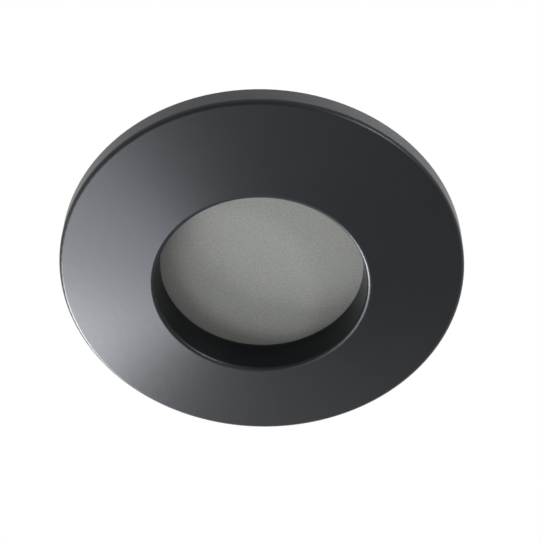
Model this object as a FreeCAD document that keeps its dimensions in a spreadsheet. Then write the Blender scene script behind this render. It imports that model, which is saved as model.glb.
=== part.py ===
import FreeCAD, Part
import math
import os
import re

import Sketcher

# Soffit downlight, 85 mm across. The origin is the centre of the soffit face, where the gasket meets the
# board. +Z points up into the ceiling void and the light shines towards -Z. Lengths are millimetres, angles
# degrees.

# Driving sizes: name, number, meaning.
SIZES = (
    # Trim: the black ring that shows below the soffit, and the neck that carries the glass.
    ("trim_radius", 42.5, "outer radius of the trim"),
    ("trim_band", 4.9, "from the soffit down to the front edge of the side band"),
    ("trim_nose", 8.9, "from the soffit down to the rim of the opening"),
    ("trim_wall", 2.0, "wall of the casting, square to its face"),
    ("rim_gap", 0.3, "from the soffit to the rear edge of the side band"),
    ("recess_draft", 0.65, "how much the recess narrows towards the glass"),
    ("edge_round", 1.0, "rounding of the outer front edge"),
    ("rim_round", 0.8, "rounding of the opening's rim"),
    ("neck_wall", 2.8, "wall of the neck"),
    ("groove_depth", 1.2, "depth of the helical grooves in the neck"),
    # Glass and what holds it.
    ("glass_setback", 8.0, "from the rim of the opening to the front of the glass"),
    ("glass_radius", 24.0, "radius of the glass"),
    ("glass_lap", 2.5, "how far the glass reaches behind the ledge"),
    ("glass_thickness", 4.0, "thickness of the glass"),
    ("glass_bevel", 0.4, "ground edge of the glass"),
    ("glass_play", 0.2, "gap round the glass in the neck"),
    ("lens_seal_thickness", 0.8, "seal in front of the glass"),
    ("lens_seal_reveal", 0.2, "how far that seal stands back from the recess wall"),
    ("snap_thickness", 1.0, "thickness of the snap ring"),
    ("snap_width", 1.9, "radial width of the snap ring"),
    ("snap_groove_depth", 0.8, "depth of its groove in the neck"),
    ("snap_play", 0.1, "gap round the snap ring in its groove"),
    ("snap_opening", 6.0, "gap between the ends of the snap ring"),
    ("snap_eye_radius", 1.4, "radius of the eyes at its ends"),
    ("snap_eye_hole", 0.6, "radius of the holes in the eyes"),
    # Bayonet between trim and frame.
    ("pin_radius", 1.5, "radius of a bayonet pin"),
    ("pin_height", 3.0, "height of the pins above the soffit"),
    ("pin_play", 0.25, "gap between a pin and its groove"),
    ("pin_head_radius", 2.3, "radius of a pin's head"),
    ("pin_head_height", 0.8, "height of a pin's head"),
    ("release_drop", 6.0, "how far the trim comes down until its grooves let go"),
    ("release_turn", 60.0, "how far the trim turns meanwhile"),
    # Frame in the soffit.
    ("neck_play", 0.4, "gap between neck and collar"),
    ("collar_wall", 1.6, "wall of the collar"),
    ("collar_top", 12.0, "height of the collar above the soffit"),
    ("flange_play", 0.7, "gap between the flange and the side band"),
    ("flange_thickness", 1.2, "thickness of the flange"),
    ("gasket_thickness", 1.5, "foam gasket on the board"),
    ("gasket_width", 3.3, "radial width of that gasket"),
    ("gasket_margin", 0.5, "from the hole in the board to the gasket"),
    ("trim_seal_inset", 1.0, "from the collar to the seal under the flange"),
    ("trim_seal_width", 3.0, "width of that seal"),
    ("trim_seal_thickness", 1.2, "thickness of that seal"),
    ("rib_width", 1.4, "width of the trim's rib under that seal"),
    ("rib_play", 0.2, "gap between rib and seal"),
    # Clips.
    ("pad_rise", 0.6, "how far the flat pads for the clips stand off the collar"),
    ("pad_width", 14.0, "width of a pad"),
    ("pad_bottom", 3.0, "height of a pad's lower end above the soffit"),
    ("bracket_width", 12.0, "width of a clip bracket"),
    ("bracket_sheet", 1.0, "sheet of the clip bracket"),
    ("bracket_bottom", 4.0, "height of the bracket's lower end above the soffit"),
    ("rivet_radius", 1.1, "shank radius of a clip rivet"),
    ("rivet_head_radius", 1.8, "head radius of a clip rivet"),
    ("rivet_head_height", 0.7, "head height of a clip rivet"),
    ("rivet_grip", 1.4, "how deep a clip rivet goes into the pad"),
    ("rivet_spread", 3.2, "from the middle of the bracket to a rivet"),
    ("rivet_height", 7.0, "height of the rivets above the soffit"),
    ("pivot_offset", 3.2, "from the pad to the clip's pivot"),
    ("pivot_height", 16.0, "height of the pivot above the soffit"),
    ("clip_pin_radius", 1.2, "radius of the clip pin"),
    ("clip_pin_play", 0.05, "running gap between clip pin and arm"),
    ("clip_pin_head_radius", 1.9, "radius of the clip pin's heads"),
    ("clip_pin_head_height", 0.6, "height of the clip pin's heads"),
    ("cheek_radius", 2.2, "rounding of the bracket's cheeks about the pivot"),
    ("arm_angle", 54.0, "slope of the arm at rest, below the horizontal"),
    ("arm_length", 11.6, "from the pivot to the end of the arm"),
    ("arm_width", 9.2, "width of the arm"),
    ("arm_sheet", 1.2, "sheet of the arm"),
    ("arm_root", 3.0, "from the pivot to the near edge of the arm's plate"),
    ("ear_sheet", 1.0, "thickness of the arm's ears"),
    ("ear_eye_radius", 2.0, "outer radius of the ears about the pivot"),
    ("ear_length", 5.6, "length of the ears along the arm"),
    ("sleeve_length", 4.0, "how far the sleeve covers the arm"),
    ("sleeve_wall", 0.6, "wall of the sleeve"),
    ("wire_radius", 0.35, "wire of the clip spring"),
    ("coil_radius", 1.75, "mean radius of the clip spring's coil"),
    ("coil_pitch", 1.2, "spacing of its turns"),
    ("spring_leg", 5.0, "length of its legs"),
    ("leg_play", 0.05, "gap between a leg and the arm"),
    # Cooling body.
    ("frame_seal_thickness", 0.8, "seal between collar and cooling body"),
    ("base_thickness", 2.5, "base plate of the cooling body"),
    ("spigot_play", 0.3, "gap between the locating spigot and the collar"),
    ("spigot_wall", 1.6, "wall of the spigot"),
    ("spigot_height", 2.0, "height of the spigot"),
    ("pot_radius", 24.5, "outer radius of the driver's housing"),
    ("pot_wall", 2.1, "wall of the driver's housing"),
    ("pot_height", 10.0, "height of the driver's housing above the base plate"),
    ("fin_thickness", 1.2, "thickness of a fin"),
    ("fin_outer_height", 4.4, "height of a fin at its outer end"),
    ("fin_inner_height", 7.6, "height of a fin at the housing"),
    ("lug_offset", 2.6, "from the collar to the middle of a screw lug"),
    ("lug_radius", 2.8, "radius of a screw lug"),
    ("frame_lug_height", 6.0, "height of the lugs on the frame"),
    ("screw_radius", 1.25, "shank radius of the screws"),
    ("screw_play", 0.2, "gap round a screw in a plain hole"),
    ("screw_head_radius", 2.2, "head radius of the screws"),
    ("screw_head_height", 1.5, "head height of the screws"),
    ("socket_radius", 0.9, "corner radius of the hexagon socket in a screw"),
    ("socket_depth", 0.9, "depth of that socket"),
    ("boss_inset", 2.0, "from the housing's inside to the middle of a screw boss"),
    ("boss_radius", 2.6, "radius of those bosses"),
    ("cover_screw_grip", 6.0, "how deep the cover screws go into the bosses"),
    # LED module.
    ("pad_thickness", 0.5, "thermal pad"),
    ("board_radius", 19.6, "radius of the LED board"),
    ("board_thickness", 1.6, "thickness of the LED board"),
    ("led_width", 2.8, "width of an LED"),
    ("led_length", 3.5, "length of an LED"),
    ("led_height", 0.7, "height of an LED"),
    ("led_inner_circle", 6.0, "inner circle of LEDs"),
    ("led_outer_circle", 11.8, "outer circle of LEDs"),
    ("led_screw_circle", 15.9, "circle of the LED board's screws"),
    ("led_screw_grip", 1.6, "how deep these screws go into the base plate"),
    ("reflector_gap", 0.6, "from the snap ring to the reflector"),
    ("reflector_inset", 2.0, "from the edge of the glass to the reflector's mouth"),
    ("reflector_top", 17.6, "inner radius of the reflector at the LED board"),
    ("reflector_wall", 1.0, "wall of the reflector"),
    ("reflector_lug_radius", 2.1, "radius of the reflector's screw lugs"),
    # Driver.
    ("bush_radius", 2.6, "insulating bush through the base plate"),
    ("bush_flange_radius", 3.8, "radius of the bush's flange"),
    ("bush_flange_height", 0.6, "height of the bush's flange"),
    ("link_radius", 0.5, "radius of a link pin"),
    ("link_spread", 1.2, "from the middle to a link pin"),
    ("link_tail", 0.8, "how far the link pins stand out of the boards"),
    ("tray_play", 0.4, "gap between the driver's tray and the screw bosses"),
    ("tray_floor", 0.8, "floor of the driver's tray"),
    ("tray_hole", 4.4, "radius of the hole in the tray for the bush"),
    ("pillar_height", 1.6, "height of the pillars in the tray"),
    ("pillar_radius", 1.8, "radius of the pillars"),
    ("pillar_inset", 3.9, "from the tray's edge to the middle of a pillar"),
    ("peg_radius", 0.9, "radius of the pegs on the pillars"),
    ("peg_play", 0.1, "gap round a peg in the driver board"),
    ("driver_thickness", 1.4, "thickness of the driver board"),
    ("inductor_radius", 4.0, "radius of the inductor's flanges"),
    ("inductor_waist", 3.2, "radius of its winding"),
    ("inductor_height", 4.2, "height of the inductor"),
    ("inductor_flange", 0.8, "thickness of its flanges"),
    ("inductor_inset", 8.4, "from the board's -X edge to the inductor"),
    ("inductor_y", 5.2, "place of the inductor along Y"),
    ("capacitor_radius", 2.4, "radius of the capacitor"),
    ("capacitor_length", 8.0, "length of the capacitor"),
    ("capacitor_x", 4.0, "place of the capacitor's near end along X"),
    ("capacitor_inset", 7.6, "from the board's +Y edge to the capacitor"),
    ("rectifier_inset", 6.9, "from the board's +X edge to the rectifier"),
    ("rectifier_y", 0.75, "from the axis to the rectifier, towards -Y"),
    ("rectifier_length", 5.0, "length of the rectifier"),
    ("rectifier_width", 4.5, "width of the rectifier"),
    ("rectifier_height", 1.6, "height of the rectifier"),
    ("controller_y", 5.0, "from the axis to the controller, towards +Y"),
    ("controller_length", 5.0, "length of the controller"),
    ("controller_width", 4.0, "width of the controller"),
    ("controller_height", 1.5, "height of the controller"),
    ("resistor_inset", 6.4, "from the board's -X edge to the resistor"),
    ("resistor_offset", 2.75, "from a pillar to the resistor along Y"),
    ("resistor_length", 4.0, "length of the resistor"),
    ("resistor_width", 2.0, "width of the resistor"),
    ("resistor_height", 1.0, "height of the resistor"),
    ("terminal_width", 15.0, "width of the terminal block"),
    ("terminal_depth", 7.0, "depth of the terminal block"),
    ("terminal_height", 5.6, "height of the terminal block"),
    ("terminal_inset", 5.4, "from the board's -Y edge to the terminal block"),
    ("terminal_pitch", 5.0, "spacing of its poles"),
    ("terminal_mouth", 1.4, "radius of its wire entries"),
    ("terminal_mouth_height", 2.2, "height of its wire entries above the board"),
    ("terminal_screw_radius", 1.3, "radius of its screws"),
    ("terminal_screw_height", 1.2, "height of its screws"),
    ("terminal_screw_sink", 0.4, "how far its screws lie below its top"),
    ("screwdriver_slot", 0.5, "width of the slots in its screws"),
    # Rear cover.
    ("cover_seal_thickness", 0.7, "seal under the rear cover"),
    ("cover_seal_width", 6.0, "width of that seal"),
    ("cover_thickness", 2.0, "thickness of the rear cover"),
    ("cover_chamfer", 0.6, "bevel round the rear cover"),
    # Cable gland.
    ("cable_bore", 3.9, "radius of the gland seal's bore"),
    ("gland_bore", 4.3, "radius of the gland's own bore"),
    ("gland_thread", 6.0, "radius of the gland's thread"),
    ("gland_flats", 8.0, "half the width across the gland's flats"),
    ("gland_hex_height", 3.6, "height of the gland's hexagon"),
    ("gland_neck", 6.6, "radius of the thread for the nut"),
    ("gland_neck_height", 5.4, "height of that thread"),
    ("gland_seal_radius", 5.4, "outer radius of the seal in the gland"),
    ("gland_seal_height", 4.0, "height of that seal"),
    ("washer_radius", 8.4, "radius of the washer under the gland"),
    ("washer_thickness", 0.8, "thickness of that washer"),
    ("locknut_flats", 7.5, "half the width across the locknut's flats"),
    ("locknut_thickness", 2.0, "thickness of the locknut"),
    ("gland_tail", 0.8, "how far the gland's thread stands out of the locknut"),
    ("nut_gap", 0.4, "from the gland's hexagon to its nut"),
    ("nut_height", 7.6, "height of the gland nut"),
    ("nut_roof", 1.6, "thickness of the gland nut's end"),
    ("nut_shoulder", 3.0, "height of the gland nut's rounded end"),
    ("nut_play", 0.1, "gap between nut and thread"),
    # For the shapes that cut.
    ("overcut", 1.0, "how far a cutting shape stands out of what it cuts"),
)

HEXAGON_SIDES = 6
HALF_SIDE = 30  # half the angle over which one side of a hexagon stands

# Places and sizes that follow from the driving ones.
FITS = (
    ("throat_radius", "glass_radius - glass_lap"),
    ("opening_radius", "throat_radius + recess_draft"),
    ("cone_slope", "(trim_nose - trim_band) / (trim_radius - opening_radius)"),
    ("floor_lift", "trim_wall * sqrt(1 + cone_slope^2)"),
    ("floor_start", "floor_lift - trim_band - trim_radius * cone_slope"),
    ("rim_inner", "trim_radius - trim_wall"),
    ("glass_front", "glass_setback - trim_nose"),
    ("glass_back", "glass_front + glass_thickness"),
    ("ledge", "glass_front - lens_seal_thickness"),
    ("neck_inner", "glass_radius + glass_play"),
    ("neck_outer", "neck_inner + neck_wall"),
    ("neck_top", "pin_height + release_drop"),
    ("groove_floor", "neck_outer - groove_depth"),
    ("groove_half", "pin_radius + pin_play"),
    ("groove_lead", "release_drop * 360 / release_turn"),
    ("snap_low", "glass_back + snap_play"),
    ("snap_high", "snap_low + snap_thickness"),
    ("snap_outer", "neck_inner + snap_groove_depth - snap_play"),
    ("snap_inner", "snap_outer - snap_width"),
    ("collar_inner", "neck_outer + neck_play"),
    ("collar_outer", "collar_inner + collar_wall"),
    ("flange_radius", "rim_inner - flange_play"),
    ("cutout_radius", "flange_radius - gasket_width - gasket_margin"),
    ("flange_top", "0 - gasket_thickness"),
    ("flange_bottom", "flange_top - flange_thickness"),
    ("trim_seal_inner", "collar_outer + trim_seal_inset"),
    ("trim_seal_outer", "trim_seal_inner + trim_seal_width"),
    ("trim_seal_low", "flange_bottom - trim_seal_thickness"),
    ("rib_inner", "(trim_seal_inner + trim_seal_outer - rib_width) / 2"),
    ("rib_outer", "rib_inner + rib_width"),
    ("rib_top", "trim_seal_low - rib_play"),
    ("pad_face", "collar_outer + pad_rise"),
    ("pivot_x", "pad_face + pivot_offset"),
    ("arm_half", "arm_width / 2"),
    ("arm_high", "coil_radius - wire_radius - leg_play"),
    ("arm_low", "arm_high - arm_sheet"),
    ("bracket_half", "bracket_width / 2"),
    ("base_low", "collar_top + frame_seal_thickness"),
    ("base_high", "base_low + base_thickness"),
    ("spigot_outer", "collar_inner - spigot_play"),
    ("pot_inner", "pot_radius - pot_wall"),
    ("pot_top", "base_high + pot_height"),
    ("lug_circle", "collar_outer + lug_offset"),
    ("boss_circle", "pot_inner - boss_inset"),
    ("tray_radius", "boss_circle - boss_radius - tray_play"),
    ("pillar_circle", "tray_radius - pillar_inset"),
    ("inductor_x", "inductor_inset - tray_radius"),
    ("capacitor_y", "tray_radius - capacitor_inset"),
    ("rectifier_x", "tray_radius - rectifier_inset"),
    ("resistor_x", "tray_radius - resistor_inset"),
    ("resistor_y", "pillar_circle / 2 - resistor_offset"),
    ("terminal_y", "terminal_inset - tray_radius"),
    ("reflector_mouth", "glass_radius - reflector_inset"),
    ("hole_radius", "screw_radius + screw_play"),
    ("board_high", "base_low - pad_thickness"),
    ("board_low", "board_high - board_thickness"),
    ("tray_top", "base_high + tray_floor"),
    ("driver_low", "tray_top + pillar_height"),
    ("driver_high", "driver_low + driver_thickness"),
    ("cover_low", "pot_top + cover_seal_thickness"),
    ("cover_high", "cover_low + cover_thickness"),
    ("hex_low", "cover_high + washer_thickness"),
    ("hex_high", "hex_low + gland_hex_height"),
    ("gland_top", "hex_high + gland_neck_height"),
    ("locknut_low", "cover_low - locknut_thickness"),
    ("nut_low", "hex_high + nut_gap"),
    ("nut_top", "nut_low + nut_height"),
    ("nut_inside", "nut_top - nut_roof"),
    ("nut_corner", f"gland_flats / cos({HALF_SIDE})"),
)

PIN_ANGLES = (90, 210, 330)
LUG_ANGLES = (45, 135, 225, 315)
LED_SCREW_ANGLES = (30, 150, 270)
FINS = 24
INNER_LEDS = 6
OUTER_LEDS = 12
COIL_TURNS = 4
QUARTER_TURN = 90
HALF_TURN = 180
FULL_TURN = 360

X_AXIS = FreeCAD.Vector(1, 0, 0)
Y_AXIS = FreeCAD.Vector(0, 1, 0)
Z_AXIS = FreeCAD.Vector(0, 0, 1)

doc = FreeCAD.newDocument("soffit_downlight")
sizes = doc.addObject("Spreadsheet::Sheet", "sizes")
fit = doc.addObject("App::VarSet", "fit")
OWNER = {name: "sizes." for name, number, meaning in SIZES}
OWNER.update({name: "fit." for name, expression in FITS})
pieces = []


def full(expression):
    """Write each plain name as the document holds it."""
    return re.sub(r"[a-z]+(_[a-z]+)*", lambda word: OWNER.get(word.group(), "") + word.group(), expression)


def value(expression):
    """The number that an expression of sizes comes to."""
    return float(sizes.evalExpression(full(expression)))


def fill_sheet():
    """Put the driving sizes in the sheet and the places that follow from them beside it."""
    for row, (name, number, meaning) in enumerate(SIZES, 1):
        sizes.set(f"A{row}", meaning)
        sizes.set(f"B{row}", str(number))
        sizes.setAlias(f"B{row}", name)
    doc.recompute()
    for name, expression in FITS:
        fit.addProperty("App::PropertyFloat", name)
        fit.setExpression(name, full(expression))
    doc.recompute()


def bind(thing, **expressions):
    """Tie properties of an object to the sizes."""
    for name, expression in expressions.items():
        thing.setExpression(name, full(expression))
    return thing


def place(thing, x="0", y="0", z="0", axis=Z_AXIS, turn="0"):
    """Put an object at a place tied to the sizes, turned about an axis through that place."""
    thing.Placement = FreeCAD.Placement(FreeCAD.Vector(), FreeCAD.Rotation(axis, value(turn)))
    for coordinate, expression in zip("xyz", (x, y, z)):
        thing.setExpression(f"Placement.Base.{coordinate}", full(expression))
    if value(turn):
        thing.setExpression("Placement.Rotation.Angle", full(turn))
    return thing


def made(label, thing):
    """Name a finished sub-part and list it."""
    thing.Label = label
    pieces.append(thing)
    return thing


def rod(radius, low, high, x="0", y="0"):
    """A cylinder along Z."""
    thing = bind(doc.addObject("Part::Cylinder", "rod"), Radius=radius, Height=f"({high}) - ({low})")
    return place(thing, x, y, low)


def cross_rod(radius, low, high, x="0", z="0"):
    """A cylinder along Y."""
    thing = bind(doc.addObject("Part::Cylinder", "cross_rod"), Radius=radius, Height=f"({high}) - ({low})")
    return place(thing, x, low, z, X_AXIS, f"-{QUARTER_TURN}")


def long_rod(radius, low, high, y="0", z="0"):
    """A cylinder along X."""
    thing = bind(doc.addObject("Part::Cylinder", "long_rod"), Radius=radius, Height=f"({high}) - ({low})")
    return place(thing, low, y, z, Y_AXIS, f"{QUARTER_TURN}")


def block(x, y, z):
    """A box between two places on each axis."""
    thing = doc.addObject("Part::Box", "block")
    for side, (low, high) in zip(("Length", "Width", "Height"), (x, y, z)):
        thing.setExpression(side, full(f"({high}) - ({low})"))
    return place(thing, x[0], y[0], z[0])


def radial_rod(radius, low, high, angle, z):
    """A cylinder that points away from Z at an angle."""
    thing = bind(doc.addObject("Part::Cylinder", "radial_rod"), Radius=radius, Height=f"({high}) - ({low})")
    axis = FreeCAD.Rotation(Z_AXIS, angle).multVec(Y_AXIS)
    return place(thing, *polar(f"({low})", angle), z, axis, f"{QUARTER_TURN}")


def radial_block(low, high, half, z, angle):
    """A box that points away from Z at an angle, as wide each side of the middle as half."""
    thing = block((low, high), (f"0 - ({half})", half), z)
    x = f"({low}) * cos({angle}) + ({half}) * sin({angle})"
    y = f"({low}) * sin({angle}) - ({half}) * cos({angle})"
    return place(thing, x, y, z[0], Z_AXIS, f"{angle}")


def hexagon(corner_radius, low, high, x="0", y="0"):
    """A six-sided prism along Z."""
    thing = doc.addObject("Part::Prism", "hexagon")
    bind(thing, Circumradius=corner_radius, Height=f"({high}) - ({low})")
    thing.Polygon = HEXAGON_SIDES
    return place(thing, x, y, low)


def draw(sketch, outline):
    """Draw a closed outline of corners tied to the sizes."""
    corners = [FreeCAD.Vector(value(across), value(up), 0) for across, up in outline]
    following = [*range(1, len(corners)), 0]
    for index, corner in enumerate(corners):
        sketch.addGeometry(Part.LineSegment(corner, corners[following[index]]))
    for index in range(len(corners)):
        sketch.addConstraint(Sketcher.Constraint("Coincident", index, 2, following[index], 1))
    for index, corner in enumerate(outline):
        for kind, expression in zip(("DistanceX", "DistanceY"), corner):
            tie = sketch.addConstraint(Sketcher.Constraint(kind, -1, 1, index, 1, value(expression)))
            sketch.setExpression(f"Constraints[{tie}]", full(expression))


def turned(name, outline):
    """A body turned about Z, from an outline of (radius, height) corners."""
    body = doc.addObject("PartDesign::Body", name + "_body")
    sketch = body.newObject("Sketcher::SketchObject", name + "_outline")
    plane = next(feature for feature in body.Origin.OriginFeatures if feature.Role == "XZ_Plane")
    sketch.AttachmentSupport = [(plane, "")]
    sketch.MapMode = "FlatFace"
    draw(sketch, outline)
    revolution = body.newObject("PartDesign::Revolution", name + "_revolution")
    revolution.Profile = sketch
    revolution.ReferenceAxis = (sketch, ["V_Axis"])
    revolution.Angle = FULL_TURN
    doc.recompute()
    return body


def rounded(body, radius, edges):
    """Round the circular edges of a turned body that lie at the given (radius, height)."""
    base = body.Tip
    wanted = [(value(edge_radius), value(height)) for edge_radius, height in edges]
    names = [
        f"Edge{number}"
        for number, edge in enumerate(base.Shape.Edges, 1)
        for edge_radius, height in wanted
        if isinstance(edge.Curve, Part.Circle)
        and abs(edge.Curve.Radius - edge_radius) < Part.Precision.approximation()
        and abs(edge.Curve.Center.z - height) < Part.Precision.approximation()
    ]
    fillet = body.newObject("PartDesign::Fillet", "rounding")
    fillet.Base = (base, names)
    bind(fillet, Radius=radius)
    doc.recompute()
    return body


def ring(name, inner, outer, low, high):
    """A flat ring."""
    return turned(name, ((inner, low), (outer, low), (outer, high), (inner, high)))


def joined(*things):
    """Several solids made one."""
    fuse = doc.addObject("Part::MultiFuse", "joined")
    fuse.Shapes = list(things)
    fuse.Refine = True
    return fuse


def cut(base, *tools):
    """A solid less the cutting shapes."""
    thing = doc.addObject("Part::Cut", "cut")
    thing.Base = base
    thing.Tool = tools[0] if len(tools) == 1 else joined(*tools)
    return thing


def common(base, tool):
    """What two solids share."""
    thing = doc.addObject("Part::Common", "common")
    thing.Base = base
    thing.Tool = tool
    return thing


def group(*things):
    """Separate solids kept together, which can be placed as one."""
    compound = doc.addObject("Part::Compound", "group")
    compound.Links = list(things)
    return compound


def polar(distance, angle):
    """The X and Y of a place at a distance and an angle from the axis."""
    return f"{distance} * cos({angle})", f"{distance} * sin({angle})"


def cone_floor(radius):
    """Height of the inside of the trim's face at a radius."""
    return f"{radius} * cone_slope + floor_start"


def screw(x, y, tip, seat):
    """A socket screw along Z whose head stands above its seat, or below it where the tip is higher."""
    up = value(seat) > value(tip)
    crown = f"{seat} + screw_head_height" if up else f"{seat} - screw_head_height"
    bottom = f"{crown} - socket_depth" if up else f"{crown} + socket_depth"
    spans = [(tip, seat), (seat, crown), (bottom, crown)]
    if not up:
        spans = [(high, low) for low, high in spans]
    shank, head, socket = spans
    solid = joined(rod("screw_radius", *shank, x, y), rod("screw_head_radius", *head, x, y))
    return cut(solid, hexagon("socket_radius", *socket, x, y))


# Trim

def trim_ring():
    """The black ring: a shallow cone with a side band, a recess and the neck with its three grooves."""
    snap_groove = "neck_inner + snap_groove_depth"
    body = turned("trim_ring", (
        ("trim_radius", "0 - rim_gap"),
        ("trim_radius", "0 - trim_band"),
        ("opening_radius", "0 - trim_nose"),
        ("throat_radius", "ledge"),
        ("neck_inner", "ledge"),
        ("neck_inner", "glass_back"),
        (snap_groove, "glass_back"),
        (snap_groove, "snap_high + snap_play"),
        ("neck_inner", "snap_high + snap_play"),
        ("neck_inner", "neck_top"),
        ("neck_outer", "neck_top"),
        ("neck_outer", cone_floor("neck_outer")),
        ("rib_inner", cone_floor("rib_inner")),
        ("rib_inner", "rib_top"),
        ("rib_outer", "rib_top"),
        ("rib_outer", cone_floor("rib_outer")),
        ("rim_inner", cone_floor("rim_inner")),
        ("rim_inner", "0 - rim_gap"),
    ))
    rounded(body, "edge_round", (("trim_radius", "0 - trim_band"),))
    rounded(body, "rim_round", (("opening_radius", "0 - trim_nose"),))
    groove = bayonet_groove()
    grooves = [place(group(groove), z="pin_height", turn=f"{angle}") for angle in PIN_ANGLES]
    made("trim_ring", cut(body, *grooves))


def bayonet_groove():
    """What a pin on the +X side needs: a round end at rest, then a helix that leaves the neck at its top."""
    path = doc.addObject("Part::Helix", "groove_path")
    bind(path, Radius="neck_outer", Pitch="groove_lead", Height="release_drop + groove_half")
    section = doc.addObject("Sketcher::SketchObject", "groove_section")
    outer = "neck_outer + overcut"
    draw(section, (("groove_floor", "0 - groove_half"), (outer, "0 - groove_half"), (outer, "groove_half"),
                   ("groove_floor", "groove_half")))
    place(section, axis=X_AXIS, turn=f"{QUARTER_TURN}")
    sweep = doc.addObject("Part::Sweep", "groove_sweep")
    sweep.Sections = [section]
    sweep.Spine = (path, ["Edge1"])
    sweep.Solid = True
    sweep.Frenet = True
    return joined(sweep, long_rod("groove_half", "groove_floor", outer))


def lens_seal():
    """Flat silicone ring between the trim's ledge and the glass."""
    made("lens_seal", ring("lens_seal", "throat_radius + lens_seal_reveal", "glass_radius", "ledge",
                           "glass_front"))


def front_glass():
    """Frosted glass with ground edges."""
    made("front_glass", turned("front_glass", (
        ("0", "glass_front"),
        ("glass_radius - glass_bevel", "glass_front"),
        ("glass_radius", "glass_front + glass_bevel"),
        ("glass_radius", "glass_back - glass_bevel"),
        ("glass_radius - glass_bevel", "glass_back"),
        ("0", "glass_back"),
    )))


def glass_snap_ring():
    """Open spring ring behind the glass, with an eye at each end for the pliers."""
    hoop = ring("snap_ring", "snap_inner", "snap_outer", "snap_low", "snap_high")
    opening = block(("0", "neck_outer"), ("0 - snap_opening / 2", "snap_opening / 2"),
                    ("snap_low", "snap_high"))
    eyes, holes = [], []
    for side in (-1, 1):
        y = f"{side} * (snap_opening / 2 + snap_eye_radius)"
        x = "snap_inner"
        eyes.append(rod("snap_eye_radius", "snap_low", "snap_high", x, y))
        holes.append(rod("snap_eye_hole", "snap_low", "snap_high", x, y))
    made("glass_snap_ring", cut(joined(cut(hoop, opening), *eyes), *holes))


# Frame

def lug(low, high, angle, inner):
    """A screw lug that stands off a round wall."""
    x, y = polar("lug_circle", angle)
    return joined(rod("lug_radius", low, high, x, y),
                  radial_block(inner, "lug_circle", "lug_radius", (low, high), angle))


def mounting_frame():
    """Flange and collar, with the pads for the clips and the lugs for the cooling body."""
    body = turned("mounting_frame", (
        ("collar_inner", "flange_bottom"),
        ("flange_radius", "flange_bottom"),
        ("flange_radius", "flange_top"),
        ("collar_outer", "flange_top"),
        ("collar_outer", "collar_top"),
        ("collar_inner", "collar_top"),
    ))
    pads = [radial_block("collar_inner", "pad_face", "pad_width / 2", ("pad_bottom", "collar_top"), angle)
            for angle in (0, HALF_TURN)]
    lugs = [lug("collar_top - frame_lug_height", "collar_top", angle, "collar_inner") for angle in LUG_ANGLES]
    bore = rod("collar_inner", "flange_bottom", "collar_top")
    pin_holes = [radial_rod("pin_radius", "collar_inner - overcut", "collar_outer + overcut", angle,
                            "pin_height") for angle in PIN_ANGLES]
    screw_holes = [rod("screw_radius", "collar_top - frame_lug_height", "collar_top",
                       *polar("lug_circle", angle)) for angle in LUG_ANGLES]
    rivet_holes = [rivet_shank(side, across, "pad_face + overcut") for side in (-1, 1) for across in (-1, 1)]
    made("mounting_frame", cut(joined(body, *pads, *lugs), bore, *pin_holes, *screw_holes, *rivet_holes))


def bayonet_pins():
    """Three headed pins that stand into the neck's grooves."""
    made("bayonet_pins", group(*[
        joined(radial_rod("pin_radius", "groove_floor + pin_play", "collar_outer", angle, "pin_height"),
               radial_rod("pin_head_radius", "collar_outer", "collar_outer + pin_head_height", angle,
                          "pin_height"))
        for angle in PIN_ANGLES
    ]))


def soffit_gasket():
    """Foam ring between the flange and the board."""
    made("soffit_gasket", ring("soffit_gasket", "cutout_radius + gasket_margin", "flange_radius",
                               "flange_top", "0"))


def trim_seal():
    """Silicone ring under the flange, on which the trim's rib closes."""
    made("trim_seal", ring("trim_seal", "trim_seal_inner", "trim_seal_outer", "trim_seal_low",
                           "flange_bottom"))


# Clips: built on the +X side, and turned half way round for the other side.

def sided(label, thing, side):
    """A clip piece on its own side of the light."""
    made(label, place(group(thing), turn="0" if side == "right" else f"{HALF_TURN}"))


def rivet_shank(side, across, outer):
    """The straight part of a rivet, from inside the pad outwards."""
    low, high = ("pad_face - rivet_grip", outer) if side > 0 else (f"0 - ({outer})", "rivet_grip - pad_face")
    return long_rod("rivet_radius", low, high, f"{across} * rivet_spread", "rivet_height")


def clip_rivets():
    """Two rivets through each bracket."""
    seat = "pad_face + bracket_sheet"
    rivets = []
    for side in (-1, 1):
        span = (seat, f"{seat} + rivet_head_height")
        if side < 0:
            span = (f"0 - ({span[1]})", f"0 - ({span[0]})")
        for across in (-1, 1):
            head = long_rod("rivet_head_radius", *span, f"{across} * rivet_spread", "rivet_height")
            rivets.append(joined(rivet_shank(side, across, seat), head))
    made("clip_rivets", group(*rivets))


def clip_bracket(side):
    """Folded bracket with two cheeks that hold the clip pin."""
    top = "pivot_height + cheek_radius"
    solids = [block(("pad_face", "pad_face + bracket_sheet"), ("0 - bracket_half", "bracket_half"),
                    ("bracket_bottom", top))]
    for low, high in (("bracket_half - bracket_sheet", "bracket_half"),
                      ("0 - bracket_half", "bracket_sheet - bracket_half")):
        solids.append(block(("pad_face", "pivot_x"), (low, high), ("pivot_height - cheek_radius", top)))
        solids.append(cross_rod("cheek_radius", low, high, "pivot_x", "pivot_height"))
    holes = [rivet_shank(1, across, "pad_face + bracket_sheet + overcut") for across in (-1, 1)]
    holes.append(cross_rod("clip_pin_radius", "0 - bracket_half", "bracket_half", "pivot_x", "pivot_height"))
    sided(f"clip_bracket_{side}", cut(joined(*solids), *holes), side)


def clip_pin(side):
    """Pin through the cheeks, headed at both ends."""
    end = "bracket_half + clip_pin_head_height"
    sided(f"clip_pin_{side}", joined(
        cross_rod("clip_pin_radius", f"0 - ({end})", end, "pivot_x", "pivot_height"),
        cross_rod("clip_pin_head_radius", "bracket_half", end, "pivot_x", "pivot_height"),
        cross_rod("clip_pin_head_radius", f"0 - ({end})", "0 - bracket_half", "pivot_x", "pivot_height"),
    ), side)


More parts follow.
